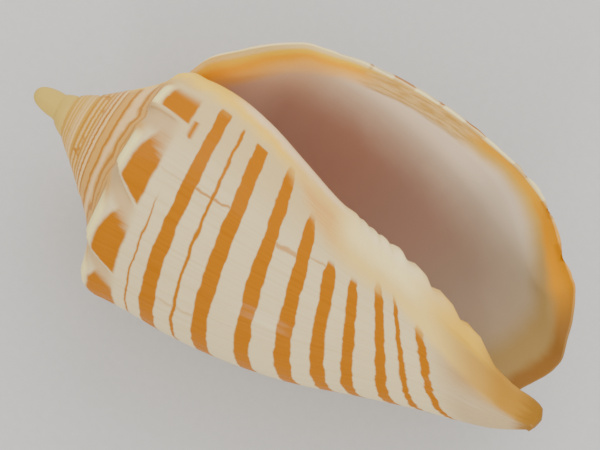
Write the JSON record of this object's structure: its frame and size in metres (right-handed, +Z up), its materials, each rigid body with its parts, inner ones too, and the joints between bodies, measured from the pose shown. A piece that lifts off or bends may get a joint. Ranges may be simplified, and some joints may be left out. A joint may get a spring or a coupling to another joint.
{
  "type": "volute shell",
  "caption": "Spindle-shaped banded sea-snail shell with a nodular shoulder, a low spire, a pleated columella and a long open aperture.",
  "frame": {"origin": "under the middle of the shell's bounding box, on the surface that it rests on", "axes": "+X from the apex to the front tip, along the length; +Y towards the outer lip; +Z up, out of the aperture, with the shell lying on its back"},
  "size_m": [0.0758, 0.0422, 0.0324],
  "materials": {
    "shell": "glossy natural shell, cream with orange spiral bands"
  },
  "bodies": {
    "root": {"shell": "shell"}
  },
  "joints": []
}
